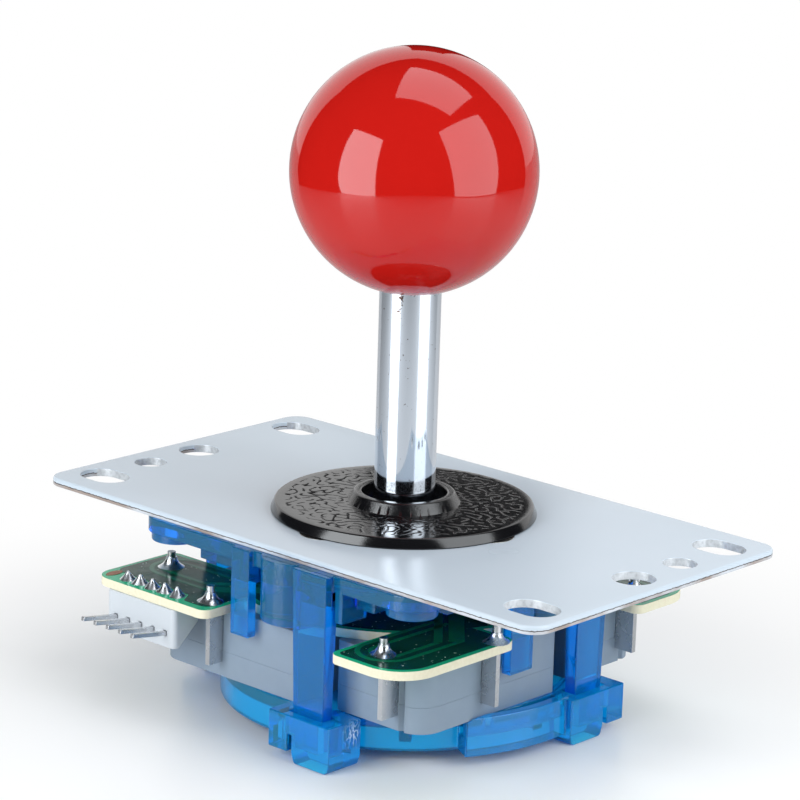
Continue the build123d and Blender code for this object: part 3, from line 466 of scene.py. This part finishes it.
def cut(mesh, tool):
    # the mesh less the tool
    name = mesh.name
    whole = bpy.data.objects.new("whole", mesh)
    cutter = bpy.data.objects.new("cutter", tool)
    for item in (whole, cutter):
        scene.collection.objects.link(item)
    whole.modifiers.new("cut", "BOOLEAN").object = cutter
    result = bpy.data.meshes.new_from_object(whole.evaluated_get(bpy.context.evaluated_depsgraph_get()))
    for item in (whole, cutter):
        bpy.data.objects.remove(item)
    for used in (mesh, tool):
        bpy.data.meshes.remove(used)
    result.name = name
    return result


# Ball, shaft and washer

ballShape = {"radius": 17.5, "centre": 49.5, "flat": 5.6, "bore": 4.62, "boreTop": 46.22, "lip": 0.35,
             "aroundSteps": 192, "arcSteps": 128}


def makeBall():
    # a circle's arc from the flat round the bore up to the crown, turned about the axis, with the bore below
    shape = ballShape
    flatAngle = -math.acos(shape["flat"] / shape["radius"])
    climb = np.linspace(flatAngle, np.pi / 2, shape["arcSteps"])
    arc = np.stack([np.cos(climb), np.sin(climb)], 1) * shape["radius"] + [0, shape["centre"]]
    arc[-1, 0] = 0
    flatHeight = arc[0, 1]
    inner = [[0, shape["boreTop"]], [shape["bore"], shape["boreTop"]], [shape["bore"], flatHeight + shape["lip"]],
             [shape["bore"] + shape["lip"] / 2, flatHeight]]
    profile = np.vstack([inner, arc])
    mesh = gridMesh("ball", lathe(profile, shape["aroundSteps"]) * mm)
    addPiece(mesh, "red_plastic", "lever", "red_plastic", "ball_top")


shaftShape = {"radii": (4.4, 3.9, 3.0, 2.3, 3.0),  # bar, under the pivot ball, tail, clip groove, stud
              "edge": 0.25, "innerRound": 0.08, "chamfer": 0.4, "room": 0.05, "stepUp": 5.85, "slotWidth": 1.0,
              "slotDepth": 0.9, "threadPitch": 1.0, "threadDepth": 0.3, "studRows": 160, "ringStep": 0.4,
              "poleGap": 0.001, "aroundSteps": 128}


def makeShaft():
    # a stepped outline turned about the axis; the stud's radius falls and rises along a helix as a thread, and the
    # screwdriver slot is cut across the tail
    shape = shaftShape
    bottom, top = (corner[2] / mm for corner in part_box("shaft"))
    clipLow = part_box("e_clip")[0][2] / mm - shape["room"]
    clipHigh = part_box("e_clip")[1][2] / mm + shape["room"]
    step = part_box("actuator")[0][2] / mm + shape["stepUp"]
    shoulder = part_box("pivot_ball")[1][2] / mm + shape["room"]
    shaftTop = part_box("ball_insert")[0][2] / mm
    barR, lowerR, tailR, grooveR, studR = shape["radii"]
    edge, inner, chamfer = shape["edge"], shape["innerRound"], shape["chamfer"]
    corners = [(shape["poleGap"], bottom), (tailR, bottom), (tailR, clipLow), (grooveR, clipLow),
               (grooveR, clipHigh), (tailR, clipHigh), (tailR, step), (lowerR, step), (lowerR, shoulder),
               (barR, shoulder), (barR, shaftTop), (studR, shaftTop)]
    rounds = [0, chamfer, inner, inner, inner, inner, inner, edge, inner, edge, edge, 0]
    bar = rounded(corners, rounds, closed=False)
    rise = np.linspace(shaftTop + shape["room"], top - chamfer, shape["studRows"])
    stud = np.stack([np.full_like(rise, studR), rise], 1)
    bar[0, 0] = 0
    profile = np.vstack([filled(bar, shape["ringStep"]), stud, [[studR - chamfer, top], [0, top]]])
    points = lathe(profile, shape["aroundSteps"])
    turn = np.linspace(0, 1, shape["aroundSteps"] + 1)[None, :]
    phase = (points[..., 2] / shape["threadPitch"] - turn) % 1
    groove = shape["threadDepth"] * np.abs(2 * phase - 1)
    onStud = (points[..., 2] > shaftTop + shape["room"] / 2) & (points[..., 2] < top - chamfer / 2)
    points[..., :2] *= np.where(onStud, 1 - groove / studR, 1)[..., None]
    across = np.array([[-2 * tailR, 0], [2 * tailR, 0]])
    deep = shape["slotDepth"]
    slot = gridMesh("slot", strip(across, shape["slotWidth"], bottom - deep, bottom + deep) * mm)
    mesh = cut(gridMesh("lever_shaft", points * mm), slot)
    addPiece(mesh, "chrome_shaft", "lever", "chrome_shaft", "shaft", sharp=50)


washerShape = {"radius": 19.2, "topRadius": 18.55, "thickness": 1.5, "height": 3.05, "hole": 6.1, "collar": 7.27,
               "collarFoot": 0.4, "outerRounds": (0.1, 0.15, 0.3, 0), "innerRounds": (0.25, 0.35, 0.3, 0.1),
               "roundSteps": 5, "aroundSteps": 800, "grainFrom": 8.0, "grainTo": 17.3, "grainStep": 0.12,
               "grainDepth": 0.07, "fadeOuter": 0.4, "fadeInner": 0.3, "stripeWaves": (2.4, 22),
               "breakWaves": (1.92, 16), "waveSpread": (0.8, 1.25), "grooveWidth": 0.22, "breakFrom": 0.8,
               "breakFade": 0.5, "faceSlack": 0.001, "seed": 7}  # waves: length in mm, count


def wormGrain(x, y, shape):
    # many plane waves of about one length and random headings add up to winding stripes; a groove runs where the sum
    # crosses zero, and a second such sum of other waves breaks the grooves into short worms
    draw = np.random.default_rng(shape["seed"])

    def waves(length, count):
        heading = draw.uniform(0, 2 * np.pi, count)
        number = 2 * np.pi / (length * draw.uniform(*shape["waveSpread"], count))
        shift = draw.uniform(0, 2 * np.pi, count)
        along = x[..., None] * np.cos(heading) + y[..., None] * np.sin(heading)
        return np.cos(along * number + shift).sum(-1) / math.sqrt(count / 2)

    stripe = waves(*shape["stripeWaves"])
    breaks = waves(*shape["breakWaves"])
    groove = np.exp(-(stripe / shape["grooveWidth"]) ** 2)
    return groove * np.clip((breaks + shape["breakFrom"]) / shape["breakFade"], 0, 1)


def faceGrain(points, shape):
    # the grain on the upper face between its two radii, fading towards them
    x, y, z = np.moveaxis(points, -1, 0)
    radius = np.hypot(x, y)
    onFace = np.abs(z - shape["thickness"]) < shape["grainDepth"] + shape["faceSlack"]
    outerFade = np.clip((shape["grainTo"] - radius) / shape["fadeOuter"], 0, 1)
    innerFade = np.clip((radius - shape["grainFrom"]) / shape["fadeInner"], 0, 1)
    return np.where(onFace, wormGrain(x, y, shape) * (outerFade * innerFade), 0)


def makeWasher():
    # a flat ring with a sloping rim and a collar, turned about the axis; the grain lowers its face between two radii
    shape = washerShape
    thick, tall, hole, steps = (shape[key] for key in ("thickness", "height", "hole", "roundSteps"))
    collarFoot = (shape["collar"] + shape["collarFoot"], thick)
    grainRadius = np.arange(shape["grainTo"], shape["grainFrom"], -shape["grainStep"])
    face = np.stack([grainRadius, np.full_like(grainRadius, thick)], 1)
    outer = rounded([(hole, 0), (shape["radius"], 0), (shape["topRadius"], thick), collarFoot], shape["outerRounds"],
                    steps=steps, closed=False)
    inner = rounded([collarFoot, (shape["collar"], tall), (hole, tall), (hole, 0)], shape["innerRounds"],
                    steps=steps, closed=False)
    middle = slice(steps, 3 * steps)  # the second and third corners
    profile = np.vstack([outer[middle], face, inner[middle], outer[:steps + 1]])
    points = lathe(profile, shape["aroundSteps"])
    points[..., 2] -= faceGrain(points, shape) * shape["grainDepth"]
    mesh = gridMesh("dust_washer_grained", points * mm)
    places = np.empty(len(mesh.vertices) * 3)
    mesh.vertices.foreach_get("co", places)
    grain = faceGrain(places.reshape(-1, 3) / mm, shape)
    mesh.attributes.new("grain", "FLOAT", "POINT").data.foreach_set("value", grain)
    addPiece(mesh, "black_plastic", "base", "black_plastic", "dust_washer", sharp=60)


makeBall()
makeShaft()
makeWasher()
print("ball, shaft and washer made")

# Plate, body, gate and what they hold

easedNodes = {  # node, finish, slot, eased edge in mm
    "panel_plate": ("mounting_plate", "coated_plate", "coated_plate", 0.12),
    "screws": ("plate_screws", "plated_screw", "plated_screw", 0.1),
    "clear_body": ("main_body", "clear_body", "clear_blue", 0.15),
    "clear_gate": ("restrictor_gate", "clear_gate", "clear_blue", 0.2),
    "board": ("switch_board", "circuit_board", "circuit_board", 0.06),
    "header": ("header_housing", "white_nylon", "white_nylon", 0.2),
    "header_pin_row": ("header_pins", "tin", "tin", 0.1),
}
for name, (node, finish, slot, edge) in easedNodes.items():
    eased(node, name, finish, slot, edge)
switchEdge = 0.06
for side in sideNames:
    for part in ("case_", "cover_"):
        eased("switch_" + part + side, part + side, "grey_switch", "grey_switch", switchEdge)
print("eased pieces made")

plainNodes = {"ball_insert": "brass_insert", "pivot_ball": "white_acetal", "spring_seat": "white_acetal",
              "actuator": "white_acetal", "e_clip": "spring_steel"}
for side in sideNames:
    plainNodes.update({"plunger_" + side: "black_plunger", "terminals_" + side: "tin"})
for name, finish in plainNodes.items():
    for slot in nodes[name].material_slots:
        slot.material = finishes[finish]

# Spring

springShape = {"wire": 0.5, "turns": 5.5, "seatRoom": 0.45, "bendFrom": -9.2, "bendTo": -12.8, "aroundSteps": 12,
               "stepsPerTurn": 48}


def makeSpring():
    # a circle of the wire's radius carried along a helix, a little short of its seat so that the seat clears it as the
    # lever leans
    shape = springShape
    low, high = (np.array(corner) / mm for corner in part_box("centering_spring"))
    wire = shape["wire"]
    coil = (high[0] - low[0]) / 2 - wire
    share = np.linspace(0, 1, int(shape["turns"] * shape["stepsPerTurn"]) + 1)
    turn = share * shape["turns"] * 2 * np.pi
    rise = low[2] + wire + (high[2] - low[2] - 2 * wire - shape["seatRoom"]) * share
    centre = np.stack([coil * np.cos(turn), coil * np.sin(turn), rise], -1)
    out = np.stack([np.cos(turn), np.sin(turn), 0 * turn], -1)
    up = np.array([0, 0, 1.0])
    around = np.linspace(0, 2 * np.pi, shape["aroundSteps"] + 1)[None, :, None]
    tube = centre[:, None] + wire * (np.cos(around) * out[:, None] + np.sin(around) * up)
    ends = np.broadcast_to(centre[[0, -1], None], (2, tube.shape[1], 3))
    points = np.concatenate([ends[:1], tube, ends[1:]])
    piece = addPiece(gridMesh("spring", points * mm), "spring_steel", None, "spring_steel", "centering_spring")
    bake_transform(piece)


makeSpring()

# Solder and board copper; places are for the right side, out from the axis and along the side, in mm

boardPlace = {"top": -10.3, "commonPin": (20.9, -26.15), "openPin": (27.75, -10.9), "headerOut": 29.45,
              "headerAlong": -21.0, "headerPitch": 2.55, "headerPins": 5, "headerSide": 3}
solderShape = {"blade": (1.9, 1.5, 0.78, 2.2), "header": (1.2, 1.35, 0.2, 1.25),  # radius, height, neck, hollow
               "twoLobes": 0.07, "threeLobes": 0.05, "tallSpread": 0.08, "rows": 14, "aroundSteps": 28, "seed": 3}


def makeSolder():
    # each joint is a hollow-flanked cone: its radius falls fast and then slowly with height, and swells a little
    # with the angle so that no two are alike
    shape, place = solderShape, boardPlace
    blades = np.array([(*place["commonPin"], 0), (*place["openPin"], 0)])
    bladeSpots = np.concatenate([turned(blades, side) for side in range(4)])
    steps = (np.arange(place["headerPins"]) - (place["headerPins"] - 1) / 2) * place["headerPitch"]
    row = np.stack([np.full_like(steps, place["headerOut"]), place["headerAlong"] + steps, 0 * steps], -1)
    headerSpots = turned(row, place["headerSide"])
    draw = np.random.default_rng(shape["seed"])

    def cones(spots, radius, height, neck, hollow):
        climb = np.linspace(0, 1, shape["rows"])
        turn = np.linspace(0, 2 * np.pi, shape["aroundSteps"] + 1)
        flank = neck + (radius - neck) * (1 - climb) ** hollow
        wave = draw.uniform(0, 2 * np.pi, (len(spots), 3, 1, 1))
        twoLobes = shape["twoLobes"] * np.cos(2 * turn + wave[:, 0])
        threeLobes = shape["threeLobes"] * np.cos(3 * turn + wave[:, 1])
        reach = flank[:, None] * (1 + (twoLobes + threeLobes) * (1 - climb)[:, None])
        tall = height * (1 + shape["tallSpread"] * np.cos(wave[:, 2]))
        ring = np.stack([reach * np.cos(turn), reach * np.sin(turn), tall * climb[:, None] + 0 * reach], -1)
        crown = np.broadcast_to(np.concatenate([0 * tall, 0 * tall, tall], -1)[:, None], (len(spots), 1, turn.size, 3))
        foot = np.zeros_like(crown)
        return np.concatenate([foot, ring, crown], 1) + spots[:, None, None] + [0, 0, place["top"]]

    points = np.concatenate([cones(bladeSpots, *shape["blade"]), cones(headerSpots, *shape["header"])])
    addPiece(gridMesh("solder", points * mm), "solder", "base", "tin", "solder_joints", sharp=70)


makeSolder()

copperShape = {"inner": 15.5, "outer": 29.1, "low": -31.3, "high": -8.2, "margin": 0.85,
               "lobeRounds": (1.0, 5.0, 1.0, 1.0),
               "headerPour": ((16.5, -30.6), (27.8, -30.6), (27.8, -15.2), (30.2, -13.8), (30.2, -9.2), (16.5, -9.2)),
               "headerRounds": (1.0, 1.6, 0.8, 0.8, 1.6, 1.0), "headerMiddle": (22.0, -12.0), "roundSteps": 8,
               "sunk": 0.02, "rise": 0.04, "lineRise": 0.055, "lineWidth": 0.75, "loopCentre": (20.4, -24.9),
               "loops": (2.25, 4.05), "loopSteps": 25, "loopShort": 1.0, "lineEnds": (-17.2, -14.6), "pathStep": 0.8,
               "bars": (((22.6, -17.1), (14.2, -7.7), 1.2), ((24.1, -15.0), (15.9, -5.9), 2.2)), "ringInner": 13.4,
               "ringOuter": 23.4, "ringBelow": 0.01, "ringSteps": 96, "padAt": (29.0, -29.5), "padReach": (1.5, 0.75),
               "padSteps": 32}


def makeCopper():
    # each lobe's pour is a slab inside the lobe's outline; two nested loops round the common blade's joint and two
    # slanting bars are strips on it, and a flat ring runs round the board's opening
    shape, place = copperShape, boardPlace
    base, headerSide = place["top"], place["headerSide"]
    under, pourTop, lineTop = base - shape["sunk"], base + shape["rise"], base + shape["lineRise"]
    steps = shape["roundSteps"]

    def putOn(name, points, finish):
        addPiece(gridMesh(name, points * mm), finish, "base", "circuit_board", sharp=30)

    def everySide(points, sides=range(4)):
        return np.array([turned(points, side) for side in sides])

    near, far = shape["inner"] + shape["margin"], shape["outer"] - shape["margin"]
    low, high = shape["low"] + shape["margin"], shape["high"] - shape["margin"]
    lobe = rounded([(near, low), (far, low), (far, high), (near, high)], shape["lobeRounds"], steps=steps)
    switchSides = [side for side in range(4) if side != headerSide]
    putOn("board_copper", everySide(slab(lobe, under, pourTop), switchSides), "copper")
    pour = rounded(shape["headerPour"], shape["headerRounds"], steps=steps)
    putOn("board_copper_header", turned(slab(pour, under, pourTop, shape["headerMiddle"]), headerSide), "copper")
    arc = np.linspace(0, np.pi, shape["loopSteps"])
    out, along = shape["loopCentre"]
    for number, (radius, end) in enumerate(zip(shape["loops"], shape["lineEnds"])):
        bend = np.stack([out + radius * np.cos(arc), along - radius * np.sin(arc)], 1)
        path = np.vstack([[[out + radius, end]], bend, [[out - radius, high - shape["loopShort"]]]])
        loop = strip(filled(path, shape["pathStep"]), shape["lineWidth"], base, lineTop)
        putOn("board_loop_%d" % number, everySide(loop), "trace")
    for number, (begin, finish, width) in enumerate(shape["bars"]):
        putOn("board_bar_%d" % number, everySide(strip(np.array([begin, finish]), width, base, lineTop)), "trace")
    ringIn, ringOut, ringTop = shape["ringInner"], shape["ringOuter"], pourTop - shape["ringBelow"]
    ring = np.array([(ringIn, under), (ringOut, under), (ringOut, ringTop), (ringIn, ringTop), (ringIn, under)])
    putOn("board_ring", lathe(ring, shape["ringSteps"]), "copper")
    turn = np.linspace(0, 2 * np.pi, shape["padSteps"] + 1)
    pad = np.stack([np.cos(turn), np.sin(turn)], 1) * shape["padReach"] + shape["padAt"]
    putOn("board_pad", turned(slab(pad, base, lineTop), headerSide), "bare_copper")


makeCopper()
print("spring, solder and board copper made")

# Studio

studio = {"floorReach": 1500.0, "whiteFrom": 35.0, "whiteTo": 110.0, "paintedLightUnder": 0.5, "ambient": 0.22,
          "flag": "#0a0a0a", "flagRadius": 400.0, "flagAzimuth": 42.3, "flagElevation": 10.8, "flagNearer": 0.22,
          "flagLow": 2.2, "flagUnder": 1.0, "flagSteps": 96, "flagRows": 60,
          "flagTurns": (0, 45, 90, 135, 180, 270, 360), "flagSpreads": (132, 115, 122, 112, 121, 124, 132),
          "cardAzimuth": 222.4, "cardAway": 200.0, "cardAside": 12.5, "cardHeight": 104.0, "cardSize": (39.0, 120.0)}
cameraPlan = {"aim": (-3.47, 2.28, 15.28), "azimuth": 42.398, "elevation": 14.755, "roll": 1.743, "distance": 471.54,
              "lens": 147.84, "sensor": 36.0, "clipFrom": 10.0}
softboxes = {  # azimuth, distance, middle height, lean down, width, height, brightness
    "left": (-10.3, 300.0, 120.0, 0.0, 200.0, 294.0, 5.8),
    "right": (100.2, 272.0, 132.0, 20.6, 253.0, 332.0, 3.4),
}
overhead = {"place": (42.0, 54.0, 329.5), "turn": 25.0, "width": 244.0, "depth": 199.0, "brightness": 2.9}
lampColour = (0.93, 0.97, 1.0)


def heading(azimuth, elevation=0.0):  # unit direction; azimuth 0 is the front, turning to the right
    a, e = math.radians(azimuth), math.radians(elevation)
    return Vector((math.sin(a) * math.cos(e), -math.cos(a) * math.cos(e), math.sin(e)))


def addLamp(name, place, turn, width, height, brightness):
    lamp = bpy.data.lights.new(name, "AREA")
    lamp.shape = "RECTANGLE"
    lamp.size, lamp.size_y = width * mm, height * mm
    lamp.energy = brightness * math.pi * width * height * mm * mm
    lamp.color = lampColour
    holder = bpy.data.objects.new(name, lamp)
    holder.location = Vector(place) * mm
    holder.rotation_euler = turn
    holder.visible_camera = False
    scene.collection.objects.link(holder)


def tableTop():
    # Lacquered board: white, with a soft gloss that mirrors the lamps faintly; clear from below, to show the underside
    look = {"white": "#f3f3f3", "mirrored": "#dadada", "cloudMm": 60, "gloss": (0.28, 0.34)}
    material, tree, place = startMaterial("board_white_lacquer")
    cloud = addNode(tree, "TexNoise", {"Vector": place, "Scale": perMm(look["cloudMm"]), "Detail": 2.0})
    gloss = addNode(tree, "MapRange", {"Value": cloud, **span("To", look["gloss"])})
    path = addNode(tree, "LightPath").outputs
    tint = addNode(tree, "Mix", {0: path["Is Glossy Ray"], 6: linear(look["white"]), 7: linear(look["mirrored"])},
                   data_type="RGBA")
    lacquer = addNode(tree, "BsdfPrincipled", {"Base Color": tint, "Roughness": gloss})
    away = addNode(tree, "VectorMath", {0: place}, operation="LENGTH")
    far = addNode(tree, "MapRange", {"Value": away, "From Min": studio["whiteFrom"] * mm,
                                     "From Max": studio["whiteTo"] * mm}, interpolation_type="SMOOTHSTEP")
    straight = addNode(tree, "Math", {0: far, 1: path["Is Camera Ray"]}, operation="MULTIPLY")
    # painted light: seen through clear plastic, the board glows at least half white, even in the lever's shadow
    under = addNode(tree, "Math", {0: far, 1: studio["paintedLightUnder"]}, operation="MAXIMUM")
    through = addNode(tree, "Math", {0: under, 1: path["Is Transmission Ray"]}, operation="MULTIPLY")
    seen = addNode(tree, "Math", {0: straight, 1: through}, operation="MAXIMUM")
    white = addNode(tree, "Emission", {"Color": (1, 1, 1, 1), "Strength": 1.0})
    mixed = addNode(tree, "MixShader", {0: seen, 1: lacquer, 2: white})
    below = addNode(tree, "NewGeometry").outputs["Backfacing"]
    clear = addNode(tree, "BsdfTransparent")
    oneWay = addNode(tree, "MixShader", {0: below, 1: mixed, 2: clear})
    addNode(tree, "OutputMaterial", {"Surface": oneWay})
    return material


def reflectionOnlyBlack():
    # Black for the sheets that only reflections see, as painted dark reflections: no shine at all
    material, tree = startMaterial("black_for_painted_reflections")[:2]
    closeMaterial(tree, {"Base Color": linear(studio["flag"]), "Roughness": 1.0, "Specular IOR Level": 0.0})
    return material


def makeStudio():
    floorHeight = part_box("restrictor_gate")[0][2] / mm
    reach = np.array([-studio["floorReach"], studio["floorReach"]])
    x, y = np.meshgrid(reach, reach)
    floor = bpy.data.objects.new("floor", gridMesh("floor", np.stack([x, y, 0 * x + floorHeight], -1) * mm))
    if floor.data.polygons[0].normal.z < 0:
        floor.data.flip_normals()
    floor.data.materials.append(tableTop())
    # the flag, a painted dark reflection, is a part of a sphere about the ball, on the camera's side, down to the floor
    # and drawn in at its left; how far it reaches round the ball varies with the turn about the camera's axis
    axis = heading(studio["flagAzimuth"], studio["flagElevation"])
    across = axis.cross(Vector((0, 0, 1))).normalized()
    rise = across.cross(axis)
    turn = np.linspace(0, 2 * np.pi, studio["flagSteps"] + 1)
    reachRound = np.interp(np.degrees(turn), studio["flagTurns"], studio["flagSpreads"])
    spread = np.radians(np.linspace(0, 1, studio["flagRows"])[:, None] * reachRound)[..., None]
    ring = np.cos(turn)[:, None] * np.array(across) + np.sin(turn)[:, None] * np.array(rise)
    toDome = np.cos(spread) * np.array(axis) + np.sin(spread) * ring
    leftward = np.clip(toDome @ np.array(across), 0, 1)
    lowDown = np.clip(1 - studio["flagLow"] * toDome[..., 2], 0, 1)
    drawnIn = 1 - studio["flagNearer"] * leftward * lowDown
    dome = toDome * drawnIn[..., None] * studio["flagRadius"] + [0, 0, ballShape["centre"]]
    dome[..., 2] = np.maximum(dome[..., 2], floorHeight - studio["flagUnder"])
    flag = bpy.data.objects.new("flag", gridMesh("flag", dome * mm))
    # the card, another painted dark reflection, is an upright rectangle behind the lever, a little to the camera's
    # right
    away = np.array(heading(studio["cardAzimuth"]))
    aside, up = np.array([away[1], -away[0], 0]), np.array([0, 0, 1])
    wide, tall = np.meshgrid([-0.5, 0.5], [-0.5, 0.5])
    width, height = studio["cardSize"]
    centre = away * studio["cardAway"] + aside * studio["cardAside"] + up * studio["cardHeight"]
    sheet = centre + wide[..., None] * width * aside + tall[..., None] * height * up
    card = bpy.data.objects.new("card", gridMesh("card", sheet * mm))
    for cloth in (flag, card):
        cloth.data.materials.append(reflectionOnlyBlack())
        # both are seen only in reflections: painted dark reflections, which neither block nor cast light
        for ray in ("camera", "diffuse", "transmission", "volume_scatter", "shadow"):
            setattr(cloth, "visible_" + ray, False)
    for piece in (floor, flag, card):
        scene.collection.objects.link(piece)
    for name, (azimuth, distance, height, lean, width, tall, brightness) in softboxes.items():
        place = heading(azimuth) * distance
        turn = Euler((math.radians(90 - lean), 0, math.radians(azimuth)))
        addLamp(name, (place.x, place.y, height), turn, width, tall, brightness)
    addLamp("overhead", overhead["place"], Euler((0, 0, math.radians(overhead["turn"]))), overhead["width"],
            overhead["depth"], overhead["brightness"])


def makeWorld():
    # white to the camera, to mirrors and through clear plastic; dimmer as light on the object
    world = bpy.data.worlds.new("studio")
    world.use_nodes = True
    tree = world.node_tree
    tree.nodes.clear()
    path = addNode(tree, "LightPath").outputs
    whole = addNode(tree, "Math", {0: path["Is Camera Ray"], 1: path["Is Transmission Ray"]}, operation="MAXIMUM")
    seen = addNode(tree, "Math", {0: whole, 1: path["Is Glossy Ray"]}, operation="MAXIMUM")
    level = addNode(tree, "Math", {0: seen, 1: studio["ambient"]}, operation="MAXIMUM")
    sky = addNode(tree, "Background", {"Color": (1, 1, 1, 1), "Strength": level})
    addNode(tree, "OutputWorld", {"Surface": sky})
    scene.world = world


def makeCamera():
    plan = cameraPlan
    camera = bpy.data.cameras.new("photo")
    camera.lens = plan["lens"]
    camera.sensor_width = plan["sensor"]
    camera.clip_start = plan["clipFrom"] * mm
    holder = bpy.data.objects.new("photo", camera)
    holder.location = (Vector(plan["aim"]) + heading(plan["azimuth"], plan["elevation"]) * plan["distance"]) * mm
    tip = Euler((math.radians(90 - plan["elevation"]), 0, math.radians(plan["azimuth"]))).to_matrix()
    roll = Euler((0, 0, math.radians(plan["roll"]))).to_matrix()
    holder.rotation_euler = (tip @ roll).to_euler()
    scene.collection.objects.link(holder)
    scene.camera = holder


makeStudio()
makeWorld()
makeCamera()
scene.view_settings.view_transform = "Standard"
print("studio and camera set")
